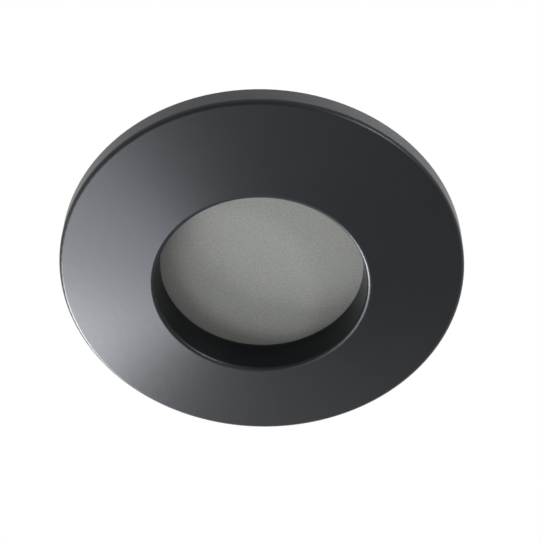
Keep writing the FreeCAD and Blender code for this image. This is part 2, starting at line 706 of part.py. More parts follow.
def sloped(thing):
    """A piece of the arm, drawn along X from the pivot, put at its slope."""
    return place(thing, "pivot_x", "0", "pivot_height", Y_AXIS, "arm_angle")


def clip_arm(side):
    """Sprung arm with an ear each side of the spring."""
    solids = [block(("arm_root", "arm_length"), ("0 - arm_half", "arm_half"), ("arm_low", "arm_high"))]
    for low, high in (("arm_half - ear_sheet", "arm_half"), ("0 - arm_half", "ear_sheet - arm_half")):
        solids.append(cross_rod("ear_eye_radius", low, high))
        solids.append(block(("0", "ear_length"), (low, high), ("arm_low", "ear_eye_radius")))
    hole = cross_rod("clip_pin_radius + clip_pin_play", "0 - arm_half", "arm_half")
    sided(f"clip_arm_{side}", sloped(cut(joined(*solids), hole)), side)


def clip_sleeve(side):
    """Soft sleeve on the end of the arm."""
    half = "arm_half + sleeve_wall"
    cover = block(("arm_length - sleeve_length", "arm_length + sleeve_wall"), (f"0 - ({half})", half),
                  ("arm_low - sleeve_wall", "arm_high + sleeve_wall"))
    hollow = block(("arm_length - sleeve_length", "arm_length"), ("0 - arm_half", "arm_half"),
                   ("arm_low", "arm_high"))
    sided(f"clip_sleeve_{side}", sloped(cut(cover, hollow)), side)


def arc_from(start, direction, end):
    """The arc from one place to another that sets out in a direction."""
    chord = end - start
    along = FreeCAD.Vector(chord).normalize()
    sideways = direction - along * direction.dot(along)
    middle = start + chord / 2
    if sideways.Length > Part.Precision.confusion():
        half_angle = direction.getAngle(along)
        middle += sideways.normalize() * (chord.Length / 2 * math.tan(half_angle / 2))
    return Part.Arc(start, middle, end).toShape()


def smooth_pair(start, leaving, end, arriving):
    """Two arcs that join two places and their directions without a kink."""
    gap = end - start
    both = leaving + arriving
    spread = 2 * (1 - leaving.dot(arriving))
    reach = (math.sqrt(gap.dot(both) ** 2 + spread * gap.dot(gap)) - gap.dot(both)) / spread
    meeting = (start + leaving * reach + end - arriving * reach) / 2
    first = arc_from(start, leaving, meeting)
    second = arc_from(end, arriving * -1, meeting)
    return first, second


def clip_spring(side):
    """Torsion spring round the clip pin: one leg along the bracket's plate, one on the arm."""
    radius, pitch, leg = value("coil_radius"), value("coil_pitch"), value("spring_leg")
    wire = value("wire_radius")
    begin, end = HALF_TURN, QUARTER_TURN - value("arm_angle")
    wound = FULL_TURN * COIL_TURNS + begin - end
    width = pitch * wound / FULL_TURN
    slope = pitch / (2 * math.pi * radius)

    def on_coil(turn):
        """Place and direction after winding by so many degrees."""
        angle = math.radians(begin - turn)
        spot = FreeCAD.Vector(radius * math.cos(angle), width / 2 - pitch * turn / FULL_TURN,
                              radius * math.sin(angle))
        course = FreeCAD.Vector(math.sin(angle), -slope, -math.cos(angle)).normalize()
        return spot, course

    steps = math.ceil(wound / QUARTER_TURN)
    turns = [wound * step / steps for step in range(steps + 1)]
    places = [on_coil(turn) for turn in turns]
    edges = []
    for (start, leaving), (finish, arriving) in zip(places, places[1:]):
        edges.extend(smooth_pair(start, leaving, finish, arriving))
    first, last = places[0], places[-1]
    fixed_end = first[0] - first[1] * leg
    free_end = last[0] + last[1] * leg
    edges.insert(0, Part.LineSegment(fixed_end, first[0]).toShape())
    edges.append(Part.LineSegment(last[0], free_end).toShape())
    path = Part.Wire(edges)
    circle = Part.Wire([Part.makeCircle(wire, fixed_end, first[1])])
    spring = doc.addObject("Part::Feature", "spring")
    spring.Shape = path.makePipeShell([circle], True, False)
    place(spring, "pivot_x", "0", "pivot_height")
    closest = min((on_coil(turn)[0] - on_coil(turn + FULL_TURN)[0]).Length for turn in turns[:-COIL_TURNS])
    print(f"clip spring {side}: least gap between its turns {closest - 2 * wire:.2f} mm")
    sided(f"clip_spring_{side}", spring, side)


# Cooling body

def frame_seal():
    """Seal between the collar and the cooling body."""
    made("frame_seal", ring("frame_seal", "collar_inner", "collar_outer", "collar_top", "base_low"))


def heat_sink():
    """Base plate with spigot and fins, and the round housing for the driver on it."""
    body = turned("heat_sink", (
        ("0", "base_low"),
        ("spigot_outer - spigot_wall", "base_low"),
        ("spigot_outer - spigot_wall", "base_low - spigot_height"),
        ("spigot_outer", "base_low - spigot_height"),
        ("spigot_outer", "base_low"),
        ("collar_outer", "base_low"),
        ("collar_outer", "base_high"),
        ("pot_radius", "base_high"),
        ("pot_radius", "pot_top"),
        ("pot_inner", "pot_top"),
        ("pot_inner", "base_high"),
        ("0", "base_high"),
    ))
    inside_wall = "pot_radius - pot_wall / 2"
    blades = group(*[
        radial_block(inside_wall, "collar_outer + overcut", "fin_thickness / 2", ("base_low", "pot_top"),
                     FULL_TURN * (index + 1 / 2) / FINS)
        for index in range(FINS)
    ])
    envelope = turned("fin_envelope", (
        (inside_wall, "base_low + base_thickness / 2"),
        ("collar_outer", "base_low + base_thickness / 2"),
        ("collar_outer", "base_high + fin_outer_height"),
        ("pot_radius", "base_high + fin_inner_height"),
        (inside_wall, "base_high + fin_inner_height"),
    ))
    lugs = [lug("base_low", "base_high", angle, "pot_radius") for angle in LUG_ANGLES]
    bosses = [rod("boss_radius", "base_low + base_thickness / 2", "pot_top", *polar("boss_circle", angle))
              for angle in LUG_ANGLES]
    lug_holes = [rod("hole_radius", "base_low", "base_high", *polar("lug_circle", angle))
                 for angle in LUG_ANGLES]
    boss_holes = [rod("screw_radius", "pot_top - cover_screw_grip", "pot_top", *polar("boss_circle", angle))
                  for angle in LUG_ANGLES]
    led_holes = [rod("screw_radius", "base_low", "base_low + led_screw_grip",
                     *polar("led_screw_circle", angle)) for angle in LED_SCREW_ANGLES]
    bush_hole = rod("bush_radius", "base_low", "base_high")
    solid = joined(body, common(blades, envelope), *lugs, *bosses)
    made("heat_sink", cut(solid, *lug_holes, *boss_holes, *led_holes, bush_hole))


def heat_sink_screws():
    """Four screws through the cooling body's lugs into the frame's."""
    tip = "collar_top - frame_lug_height"
    made("heat_sink_screws", group(*[
        screw(*polar("lug_circle", angle), tip, "base_high") for angle in LUG_ANGLES
    ]))


# LED module

def thermal_pad():
    """Soft pad that carries the LEDs' heat to the base plate."""
    holes = [rod("hole_radius", "board_high", "base_low", *polar("led_screw_circle", angle))
             for angle in LED_SCREW_ANGLES]
    disc = rod("board_radius", "board_high", "base_low")
    made("thermal_pad", cut(disc, rod("bush_radius", "board_high", "base_low"), *holes))


def led_board():
    """Round aluminium board that carries the LEDs."""
    holes = [rod("hole_radius", "board_low", "board_high", *polar("led_screw_circle", angle))
             for angle in LED_SCREW_ANGLES]
    holes += [rod("link_radius", "board_low", "board_high", x) for x in ("link_spread", "0 - link_spread")]
    made("led_board", cut(rod("board_radius", "board_low", "board_high"), *holes))


def led_chips():
    """Two circles of LEDs on the underside of the board."""
    chips = []
    for circle, count in (("led_inner_circle", INNER_LEDS), ("led_outer_circle", OUTER_LEDS)):
        for index in range(count):
            low, high = f"{circle} - led_length / 2", f"{circle} + led_length / 2"
            chips.append(radial_block(low, high, "led_width / 2", ("board_low - led_height", "board_low"),
                                      FULL_TURN * index / count))
    made("led_chips", group(*chips))


def reflector():
    """White cone between the LED board and the glass, with lugs for the board's screws."""
    cone = turned("reflector", (
        ("reflector_mouth", "snap_high + reflector_gap"),
        ("reflector_mouth + reflector_wall", "snap_high + reflector_gap"),
        ("reflector_top + reflector_wall", "board_low"),
        ("reflector_top", "board_low"),
    ))
    span = ("board_low - reflector_wall", "board_low")
    spots = [polar("led_screw_circle", angle) for angle in LED_SCREW_ANGLES]
    lugs = [rod("reflector_lug_radius", *span, *spot) for spot in spots]
    holes = [rod("hole_radius", *span, *spot) for spot in spots]
    made("reflector", cut(joined(cone, *lugs), *holes))


def led_board_screws():
    """Three screws that hold reflector and LED board up to the base plate."""
    made("led_board_screws", group(*[
        screw(*polar("led_screw_circle", angle), "base_low + led_screw_grip", "board_low - reflector_wall")
        for angle in LED_SCREW_ANGLES
    ]))


# Driver

def link_bush():
    """Insulating bush for the two pins that link the boards."""
    solid = joined(rod("bush_radius", "board_high", "base_high"),
                   rod("bush_flange_radius", "base_high", "base_high + bush_flange_height"))
    holes = [rod("link_radius", "board_high", "base_high + bush_flange_height", x)
             for x in ("link_spread", "0 - link_spread")]
    made("link_bush", cut(solid, *holes))


def link_pins():
    """Two pins from the driver board through the bush to the LED board."""
    made("link_pins", group(*[
        rod("link_radius", "board_low - link_tail", "driver_high + link_tail", x)
        for x in ("link_spread", "0 - link_spread")
    ]))


def driver_tray():
    """Insulating tray with three pegged pillars under the driver board."""
    solids = [rod("tray_radius", "base_high", "tray_top")]
    for angle in PIN_ANGLES:
        spot = polar("pillar_circle", angle)
        solids.append(rod("pillar_radius", "base_high", "driver_low", *spot))
        solids.append(rod("peg_radius", "base_high", "driver_high + link_tail", *spot))
    made("driver_tray", cut(joined(*solids), rod("tray_hole", "base_high", "tray_top")))


def driver_board():
    """Round board that turns mains into what the LEDs need."""
    holes = [rod("peg_radius + peg_play", "driver_low", "driver_high", *polar("pillar_circle", angle))
             for angle in PIN_ANGLES]
    holes += [rod("link_radius", "driver_low", "driver_high", x) for x in ("link_spread", "0 - link_spread")]
    made("driver_board", cut(rod("tray_radius", "driver_low", "driver_high"), *holes))


def driver_inductor():
    """Drum-shaped inductor."""
    drum = turned("driver_inductor", (
        ("0", "0"),
        ("inductor_radius", "0"),
        ("inductor_radius", "inductor_flange"),
        ("inductor_waist", "inductor_flange"),
        ("inductor_waist", "inductor_height - inductor_flange"),
        ("inductor_radius", "inductor_height - inductor_flange"),
        ("inductor_radius", "inductor_height"),
        ("0", "inductor_height"),
    ))
    made("driver_inductor", place(drum, "inductor_x", "inductor_y", "driver_high"))


def driver_capacitor():
    """Lying electrolytic capacitor."""
    far_end = "capacitor_x + capacitor_length"
    made("driver_capacitor", long_rod("capacitor_radius", "capacitor_x", far_end, "capacitor_y",
                                      "driver_high + capacitor_radius"))


def driver_chips():
    """Bridge rectifier, controller and a resistor."""
    places = (
        ("rectifier", "rectifier_x", "0 - rectifier_y"),
        ("controller", "0", "controller_y"),
        ("resistor", "0 - resistor_x", "0 - resistor_y"),
    )
    made("driver_chips", group(*[
        block((f"{x} - {name}_length / 2", f"{x} + {name}_length / 2"),
              (f"{y} - {name}_width / 2", f"{y} + {name}_width / 2"),
              ("driver_high", f"driver_high + {name}_height"))
        for name, x, y in places
    ]))


def terminal_block():
    """Three-pole terminal block for the supply."""
    y = ("terminal_y - terminal_depth / 2", "terminal_y + terminal_depth / 2")
    top = "driver_high + terminal_height"
    solid = block(("0 - terminal_width / 2", "terminal_width / 2"), y, ("driver_high", top))
    tools = []
    for pole in (-1, 0, 1):
        x = f"{pole} * terminal_pitch"
        tools.append(cross_rod("terminal_mouth", "terminal_y", "terminal_y + terminal_depth / 2 + overcut", x,
                               "driver_high + terminal_mouth_height"))
        bottom = f"{top} - terminal_screw_sink - terminal_screw_height"
        tools.append(rod("terminal_screw_radius", bottom, top, x, "terminal_y"))
    made("terminal_block", cut(solid, *tools))


def terminal_screws():
    """Slotted screws in the terminal block."""
    high = "driver_high + terminal_height - terminal_screw_sink"
    screws = []
    for pole in (-1, 0, 1):
        x = f"{pole} * terminal_pitch"
        slot = block((f"{x} - terminal_screw_radius", f"{x} + terminal_screw_radius"),
                     ("terminal_y - screwdriver_slot / 2", "terminal_y + screwdriver_slot / 2"),
                     (f"{high} - screwdriver_slot", high))
        shank = rod("terminal_screw_radius", f"{high} - terminal_screw_height", high, x, "terminal_y")
        screws.append(cut(shank, slot))
    made("terminal_screws", group(*screws))


# Rear cover and gland

def cover_seal():
    """Flat seal between housing and cover."""
    band = ring("cover_seal", "pot_radius - cover_seal_width", "pot_radius", "pot_top", "cover_low")
    holes = [rod("hole_radius", "pot_top", "cover_low", *polar("boss_circle", angle))
             for angle in LUG_ANGLES]
    made("cover_seal", cut(band, *holes))


def rear_cover():
    """Round cover with the hole for the gland."""
    disc = turned("rear_cover", (
        ("gland_thread", "cover_low"),
        ("pot_radius", "cover_low"),
        ("pot_radius", "cover_high - cover_chamfer"),
        ("pot_radius - cover_chamfer", "cover_high"),
        ("gland_thread", "cover_high"),
    ))
    holes = [rod("hole_radius", "cover_low", "cover_high", *polar("boss_circle", angle))
             for angle in LUG_ANGLES]
    made("rear_cover", cut(disc, *holes))


def cover_screws():
    """Four screws through the cover into the housing's bosses."""
    tip = "pot_top - cover_screw_grip"
    made("cover_screws", group(*[
        screw(*polar("boss_circle", angle), tip, "cover_high") for angle in LUG_ANGLES
    ]))


def gland_washer():
    """Sealing washer between gland and cover."""
    made("gland_washer", ring("gland_washer", "gland_thread", "washer_radius", "cover_high", "hex_low"))


def gland_body():
    """Hexagon with a thread below for the cover and one above for the nut."""
    solid = joined(rod("gland_thread", "locknut_low - gland_tail", "hex_low"),
                   hexagon("nut_corner", "hex_low", "hex_high"),
                   rod("gland_neck", "hex_high", "gland_top"))
    bore = rod("gland_bore", "locknut_low - gland_tail", "gland_top")
    seat = rod("gland_seal_radius", "gland_top - gland_seal_height", "gland_top")
    made("gland_body", cut(solid, bore, seat))


def gland_locknut():
    """Nut on the inside of the cover."""
    nut = hexagon(f"locknut_flats / cos({HALF_SIDE})", "locknut_low", "cover_low")
    made("gland_locknut", cut(nut, rod("gland_thread", "locknut_low", "cover_low")))


def gland_seal():
    """Rubber sleeve that the nut squeezes onto the cable."""
    made("gland_seal", ring("gland_seal", "cable_bore", "gland_seal_radius", "gland_top - gland_seal_height",
                            "nut_inside"))


def gland_nut():
    """Domed nut, hexagonal below and round at its end."""
    dome = turned("gland_nut", (
        ("gland_bore", "nut_inside"),
        ("gland_neck + nut_play", "nut_inside"),
        ("gland_neck + nut_play", "nut_low"),
        ("nut_corner", "nut_low"),
        ("nut_corner", "nut_top - nut_shoulder"),
        ("gland_seal_radius", "nut_top"),
        ("gland_bore", "nut_top"),
    ))
    made("gland_nut", common(dome, hexagon("nut_corner", "nut_low", "nut_top")))


def build():
    """Make every sub-part, the trim first and the gland last."""
    for make in (trim_ring, lens_seal, front_glass, glass_snap_ring, mounting_frame, bayonet_pins,
                 soffit_gasket, trim_seal, clip_rivets):
        make()
    for side in ("left", "right"):
        for make in (clip_bracket, clip_pin, clip_arm, clip_sleeve, clip_spring):
            make(side)
    for make in (frame_seal, heat_sink, heat_sink_screws, thermal_pad, led_board, led_chips, reflector,
                 led_board_screws, link_bush, link_pins, driver_tray, driver_board, driver_inductor,
                 driver_capacitor, driver_chips, terminal_block, terminal_screws, cover_seal, rear_cover,
                 cover_screws, gland_washer, gland_body, gland_locknut, gland_seal, gland_nut):
        make()
    doc.recompute()


def check():
    """Stop if any object failed or any sub-part isn't a sound solid."""
    for thing in doc.Objects:
        if "Invalid" in thing.State or "Error" in thing.State:
            raise ValueError(f"{thing.Label} failed: {thing.State}")
    for piece in pieces:
        if piece.Shape.isNull() or not piece.Shape.isValid() or not piece.Shape.Solids:
            raise ValueError(f"{piece.Label} isn't a sound solid")


def export():
    """Write each sub-part to its own file."""
    os.makedirs("parts", exist_ok=True)
    for piece in pieces:
        piece.Shape.exportStep(f"parts/{piece.Label}.step")
        print(piece.Label, len(piece.Shape.Solids), f"{piece.Shape.Volume:.1f} mm3")


fill_sheet()
build()
check()
export()
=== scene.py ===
"""Dresses the packed soffit downlight with its finishes and fine pieces, and sets up the studio round it."""

import math

import bpy
from bpy.props import FloatProperty, FloatVectorProperty, IntProperty, PointerProperty
from mathutils import Matrix, Vector


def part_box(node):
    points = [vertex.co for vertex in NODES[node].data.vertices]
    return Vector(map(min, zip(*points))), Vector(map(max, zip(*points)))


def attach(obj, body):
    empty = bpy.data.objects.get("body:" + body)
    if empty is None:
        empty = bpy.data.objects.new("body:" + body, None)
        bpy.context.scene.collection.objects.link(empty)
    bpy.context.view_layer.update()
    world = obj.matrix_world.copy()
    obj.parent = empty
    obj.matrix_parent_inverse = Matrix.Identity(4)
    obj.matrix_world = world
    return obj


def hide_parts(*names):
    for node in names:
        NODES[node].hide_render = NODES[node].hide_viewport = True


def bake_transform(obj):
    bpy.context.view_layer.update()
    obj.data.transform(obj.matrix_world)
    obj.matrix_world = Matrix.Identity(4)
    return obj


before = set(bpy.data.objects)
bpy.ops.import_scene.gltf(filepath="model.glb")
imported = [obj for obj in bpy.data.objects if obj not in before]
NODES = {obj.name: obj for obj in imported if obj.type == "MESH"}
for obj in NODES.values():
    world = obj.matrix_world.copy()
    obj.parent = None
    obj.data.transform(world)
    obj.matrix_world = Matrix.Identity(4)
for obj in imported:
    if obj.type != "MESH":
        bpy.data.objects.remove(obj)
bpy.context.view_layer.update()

bl_info = {
    "name": "Soffit downlight",
    "version": (1, 0, 0),
    "blender": (4, 5, 0),
    "location": "3D View > Sidebar > Downlight",
    "description": "Finishes and fine pieces of a recessed downlight, and the studio it is shown in",
    "category": "Object",
}

MM = 0.001

# Places in the frame that the pieces below are fitted to, in metres.
PIVOT_X, PIVOT_HEIGHT = 32.8 * MM, 16.0 * MM
SLEEVE_RUN = (7.6 * MM, 12.2 * MM)
SLEEVE_HALF_WIDTH = 5.2 * MM
SLEEVE_NORMAL = (-0.45 * MM, 1.95 * MM)
GASKET_INNER = 36.5 * MM
NUT_MOUTH, NUT_BORE, NUT_INSIDE, NUT_SEAT = 5.4 * MM, 4.3 * MM, 6.7 * MM, 38.8 * MM
SOFFIT_TRIM_FRONT = -4.9 * MM

# How far edges are rounded, in metres, and which edges count as sharp, in degrees.
FINE_EDGE, RING_EDGE, SCREW_EDGE, CAST_EDGE = 0.08 * MM, 0.10 * MM, 0.18 * MM, 0.22 * MM
SLEEVE_CORNER, SLEEVE_END = 0.95 * MM, 0.3 * MM
FLAT_ANGLE, SHARP_ANGLE = 0.5, 35.0

COAT_TINT = (0.86, 0.90, 1.0)

# How many times its depth away the floor is white to the eye.
FLOOR_WHITE_AT = 3.2


def length(name, description, default, low=0.0, high=1.0):
    """A size that a user may change, in metres."""
    return FloatProperty(name=name, description=description, default=default, min=low, max=high, precision=5,
                         unit="LENGTH")


def share(name, description, default, high=1.0):
    """A plain factor that a user may change."""
    return FloatProperty(name=name, description=description, default=default, min=0.0, max=high,
                         subtype="FACTOR" if high == 1.0 else "NONE")


def color(name, description, default):
    """A colour that a user may change."""
    return FloatVectorProperty(name=name, description=description, default=default, size=3, min=0.0, max=1.0,
                               subtype="COLOR")


def place(name, description, default):
    """A place that a user may change, in metres."""
    return FloatVectorProperty(name=name, description=description, default=default, size=3, unit="LENGTH",
                               subtype="TRANSLATION")


class TrimSettings(bpy.types.PropertyGroup):
    """The black ring below the soffit."""
    coat: color("Coat", "Colour of the powder coat", (0.0007, 0.0009, 0.0013))
    coat_pale: color("Pale coat", "Colour of the coat where it lies thickest", (0.0016, 0.0018, 0.0023))
    roughness: share("Roughness", "How matt the coat is", 0.363)
    reflection: share("Reflection", "How much the coat reflects, 0.5 being plain plastic", 0.420)
    peel_size: length("Peel size", "Width of the waves in the coat", 1.7 * MM)
    peel_height: length("Peel height", "Height of the waves in the coat", 0.011 * MM)
    grain_size: length("Grain size", "Width of the coat's grains", 0.28 * MM)
    grain_height: length("Grain height", "Height of the coat's grains", 0.003 * MM)


class GlassSettings(bpy.types.PropertyGroup):
    """The frosted glass and its seal."""
    glass: color("Glass", "Colour of the frosted glass", (0.178, 0.185, 0.175))
    # Deep glass is painted shade: the colour given to the pits between the blasted grains.
    glass_pit_shade: color("Deep glass", "Colour of the glass between the blasted grains", (0.128, 0.133, 0.126))
    roughness: share("Roughness", "How matt the blasted face is", 0.62)
    clearness: share("Clearness", "How much light goes through the glass", 0.12)
    grain_size: length("Grain size", "Width of the blasted grains", 0.32 * MM)
    grain_height: length("Grain height", "Depth of the blasted grains", 0.012 * MM)


class FrameSettings(bpy.types.PropertyGroup):
    """The frame in the soffit and its gasket."""
    soft_edge: length("Soft edge", "Rounding of cast and turned edges", 0.22 * MM)
    gasket_bulge: length("Gasket bulge", "How far the foam swells between its faces", 0.16 * MM)
    gasket_wave: length("Gasket wave", "How uneven the cut side of the foam is", 0.05 * MM)


class ClipSettings(bpy.types.PropertyGroup):
    """The two sprung clips."""
    wire: length("Wire", "Radius of the spring wire", 0.35 * MM)
    coil: length("Coil", "Middle radius of the coil", 1.75 * MM)
    pitch: length("Pitch", "Spacing of its turns", 1.2 * MM)
    turns: share("Turns", "Turns of the coil", 4.4, 20.0)
    leg: length("Leg", "Length of the legs", 5.0 * MM)
    slope: share("Slope", "How far the arms slope down at rest, in degrees", 54.0, 90.0)
    sheet_edge: length("Sheet edge", "Rounding of the punched edges", 0.12 * MM)
    ribs: IntProperty(name="Ribs", description="Grip ribs on each sleeve", default=4, min=0, max=12)
    rib_depth: length("Rib depth", "Depth of the grooves between the ribs", 0.16 * MM)


class GlandSettings(bpy.types.PropertyGroup):
    """The cable gland."""
    flats: length("Flats", "Half the width across the nut's flats", 8.0 * MM)
    corner: length("Corner", "Rounding of the nut's corners", 0.55 * MM)
    grips: IntProperty(name="Grips", description="Grip ribs round the nut's dome", default=36, min=0, max=90)
    grip_depth: length("Grip depth", "Depth of the grooves between them", 0.14 * MM)
    edge: length("Edge", "Rounding of the moulded edges", 0.25 * MM)


class StageSettings(bpy.types.PropertyGroup):
    """Camera, lamps, floor and backdrop."""
    lens: share("Lens", "Focal length of the camera in millimetres", 110.0, 500.0)
    distance: length("Distance", "From the camera to the light", 346.56 * MM, 0.05, 5.0)
    below: share("Below", "How far the camera looks up, in degrees", 53.70, 90.0)
    roll: share("Roll", "How far the camera leans, in degrees", 1.42, 45.0)
    aim_right: length("Aim right", "How far right of the axis the camera aims", 1.7586 * MM)
    aim_up: length("Aim up", "How far above the axis, in the picture, the camera aims", 1.3745 * MM)
    floor: color("Floor", "Colour of the floor", (0.80, 0.80, 0.79))
    floor_depth: length("Floor depth", "From the soffit down to the floor", 0.60, 0.0, 5.0)
    floor_paleness: share("Floor paleness", "How far the near floor goes to white where it is seen", 0.02)
    world_level: share("World level", "Soft light that comes from all round", 0.20, 10.0)
    side_place: place("Side lamp", "Middle of the main soft lamp, behind and left", (-0.394, 0.553, -0.276))
    side_size: length("Side lamp size", "Width of that lamp", 0.29, 0.0, 5.0)
    side_power: share("Side lamp power", "Power of that lamp, in watts", 8.4, 1000.0)
    low_place: place("Low lamp", "Middle of the soft lamp below and behind", (-0.331, 0.243, -0.474))
    low_size: length("Low lamp size", "Width of that lamp", 0.35, 0.0, 5.0)
    low_power: share("Low lamp power", "Power of that lamp, in watts", 2.3, 1000.0)
    front_place: place("Front lamp", "Middle of the small soft lamp in front and right", (0.51, -0.40, -0.39))
    front_size: length("Front lamp size", "Width of that lamp", 0.14, 0.0, 5.0)
    front_power: share("Front lamp power", "Power of that lamp, in watts", 2.3, 1000.0)
    top_place: place("Top lamp", "Middle of the large soft lamp above", (0.15, 0.10, 1.15))
    top_size: length("Top lamp size", "Width of that lamp", 0.70, 0.0, 5.0)
    top_power: share("Top lamp power", "Power of that lamp, in watts", 8.0, 1000.0)


# Finishes

class Recipe:
    """A finish while it is put together."""

    def __init__(self, name):
        plain = bpy.data.materials.get(name)
        if plain:
            plain.name = name + "_plain"
        self.finish = bpy.data.materials.new(name)
        self.finish.use_nodes = True
        self.tree = self.finish.node_tree
        self.shader = self.tree.nodes["Principled BSDF"]
        self.place = self.add("ShaderNodeTexCoord").outputs["Object"]

    def feed(self, socket, source):
        """Link a node's output to a socket, or set the socket to a number or colour."""
        if isinstance(source, bpy.types.NodeSocket):
            self.tree.links.new(source, socket)
        elif socket.type == "RGBA" and len(source) == 3:
            socket.default_value = (*source, 1.0)
        else:
            socket.default_value = source

    def add(self, kind, inputs=None, **settings):
        """A node with its settings and what feeds it."""
        node = self.tree.nodes.new(kind)
        for name, setting in settings.items():
            setattr(node, name, setting)
        for name, source in (inputs or {}).items():
            self.feed(node.inputs[name], source)
        return node

    def stretched(self, stretch):
        """The place on the piece, drawn out along the axes where a number is below 1."""
        return self.add("ShaderNodeMapping", {"Vector": self.place, "Scale": stretch}).outputs[0]

    def noise(self, size, detail=2.0, stretch=None, warp=0.0):
        """Soft spots about as wide as size."""
        place = self.stretched(stretch) if stretch else self.place
        return self.add("ShaderNodeTexNoise", {
            "Vector": place, "Scale": 1.0 / size, "Detail": detail, "Distortion": warp}).outputs[0]

    def cells(self, size):
        """Distance to the middle of cells about as wide as size."""
        return self.add("ShaderNodeTexVoronoi", {
            "Vector": self.place, "Scale": 1.0 / size}).outputs["Distance"]

    def span(self, source, low, high, to_low=0.0, to_high=1.0):
        """Stretch the numbers between low and high to those between to_low and to_high."""
        return self.add("ShaderNodeMapRange", {
            "Value": source, "From Min": low, "From Max": high,
            "To Min": to_low, "To Max": to_high}).outputs[0]

    def shades(self, source, *stops):
        """Colours by where a number lies: stops are (place, colour)."""
        node = self.add("ShaderNodeValToRGB", {"Fac": source})
        points = node.color_ramp.elements
        while len(points) < len(stops):
            points.new(1.0)
        for point, (place, shade) in zip(points, stops):
            point.position = place
            point.color = (*shade, 1.0)
        return node.outputs["Color"]

    def relief(self, *layers):
        """Raise the surface by layers of (height source, height in metres)."""
        normal = None
        for source, height in layers:
            inputs = {"Height": source, "Distance": height, "Strength": 1.0}
            if normal:
                inputs["Normal"] = normal
            normal = self.add("ShaderNodeBump", inputs).outputs[0]
        self.feed(self.shader.inputs["Normal"], normal)

    def set(self, **sockets):
        """Set or link the shader's sockets by name, with underscores for spaces."""
        for name, source in sockets.items():
            self.feed(self.shader.inputs[name.replace("_", " ")], source)


def darker(shade, factor):
    """A colour times a factor."""
    return tuple(part * factor for part in shade)


def moulded(name, shade, roughness, mottle=0.004, grain=0.0006, depth=0.00001, vary=0.12):
    """Plastic or rubber from a mould: faint mottling, a fine grain and uneven gloss."""
    recipe = Recipe(name)
    cloud = recipe.noise(mottle, 4.0)
    fine = recipe.noise(grain, 2.0)
    recipe.set(
        Base_Color=recipe.shades(cloud, (0.32, darker(shade, 1.0 - vary)), (0.68, darker(shade, 1.0 + vary))),
        Roughness=recipe.span(fine, 0.3, 0.7, roughness - 0.06, roughness + 0.06),
    )
    recipe.relief((cloud, depth * 3.0), (fine, depth))
    return recipe.finish


def drawn_metal(name, shade, roughness):
    """Bare metal with a fine grain and a cloudy tarnish."""
    recipe = Recipe(name)
    grain = recipe.noise(0.0004, 3.0)
    tarnish = recipe.noise(0.006, 4.0, warp=0.4)
    recipe.set(
        Base_Color=recipe.shades(tarnish, (0.30, darker(shade, 0.88)), (0.62, shade)),
        Metallic=1.0,
        Roughness=recipe.span(grain, 0.3, 0.7, roughness - 0.07, roughness + 0.07),
    )
    recipe.relief((grain, 0.0000012))
    return recipe.finish


def powder_coat(name, settings, casting=0.0):
    """Black satin powder coat: orange peel, fine grain and a slightly uneven thickness."""
    recipe = Recipe(name)
    cloud = recipe.noise(0.009, 3.0)
    peel = recipe.noise(settings.peel_size, 2.0)
    grain = recipe.noise(settings.grain_size, 1.0)
    recipe.set(
        Base_Color=recipe.shades(cloud, (0.35, settings.coat), (0.70, settings.coat_pale)),
        Roughness=recipe.span(grain, 0.3, 0.7, settings.roughness - 0.03, settings.roughness + 0.03),
        Specular_IOR_Level=settings.reflection,
        Specular_Tint=COAT_TINT,
    )
    layers = [(peel, settings.peel_height), (grain, settings.grain_height)]
    if casting:
        layers.insert(0, (recipe.noise(0.0022, 4.0), casting))
    recipe.relief(*layers)
    return recipe.finish


def blasted_glass(name, settings):
    """Frosted glass: a blasted face whose grains catch the light one by one, with painted shade darkening the
    colour between the grains.
    """
    recipe = Recipe(name)
    grain = recipe.noise(settings.grain_size, 1.5)
    patch = recipe.noise(0.007, 2.0)
    recipe.set(
        # Painted shade: the colour goes darker between the grains, where the bump puts the pits.
        Base_Color=recipe.shades(grain, (0.30, settings.glass_pit_shade), (0.70, settings.glass)),
        Roughness=recipe.span(patch, 0.3, 0.7, settings.roughness - 0.04, settings.roughness + 0.04),
        Transmission_Weight=settings.clearness,
        IOR=1.5,
    )
    recipe.relief((grain, settings.grain_height))
    return recipe.finish


def cell_foam(name):
    """Closed-cell foam rubber: small open cells where it was cut, with painted shade darkening the inside of
    each cell.
    """
    recipe = Recipe(name)
    cells = recipe.cells(0.00055)
    recipe.set(
        # Painted shade: the colour is darkest in the middle of each cell, where the bump makes it lowest.
        Base_Color=recipe.shades(cells, (0.10, (0.006, 0.006, 0.006)), (0.60, (0.030, 0.030, 0.031))),
        Roughness=recipe.span(recipe.noise(0.003), 0.3, 0.7, 0.82, 0.94),
    )
    recipe.relief((cells, 0.00016))
    return recipe.finish


def zinc_sheet(name):
    """Zinc-plated sheet: rolled lines under a cloudy, faintly blue plating."""
    recipe = Recipe(name)
    lines = recipe.noise(0.0005, 3.0, (1.0, 1.0, 0.08))
    cloud = recipe.noise(0.0035, 5.0, warp=0.6)
    recipe.set(
        Base_Color=recipe.shades(cloud, (0.28, (0.40, 0.42, 0.44)), (0.50, (0.55, 0.56, 0.58)),
                                 (0.74, (0.62, 0.60, 0.55))),
        Metallic=1.0,
        Roughness=recipe.span(cloud, 0.25, 0.75, 0.26, 0.42),
    )
    recipe.relief((cloud, 0.000012), (lines, 0.000006))
    return recipe.finish


def cast_metal(name):
    """Plain cast aluminium: a sandy skin, dull in the hollows."""
    recipe = Recipe(name)
    skin = recipe.noise(0.0006, 4.0)
    flow = recipe.noise(0.006, 3.0, warp=0.8)
    recipe.set(
        Base_Color=recipe.shades(flow, (0.30, (0.41, 0.42, 0.43)), (0.66, (0.54, 0.55, 0.56))),
        Metallic=1.0,
        Roughness=recipe.span(skin, 0.3, 0.7, 0.54, 0.70),
    )
    recipe.relief((flow, 0.00004), (skin, 0.00002))
    return recipe.finish


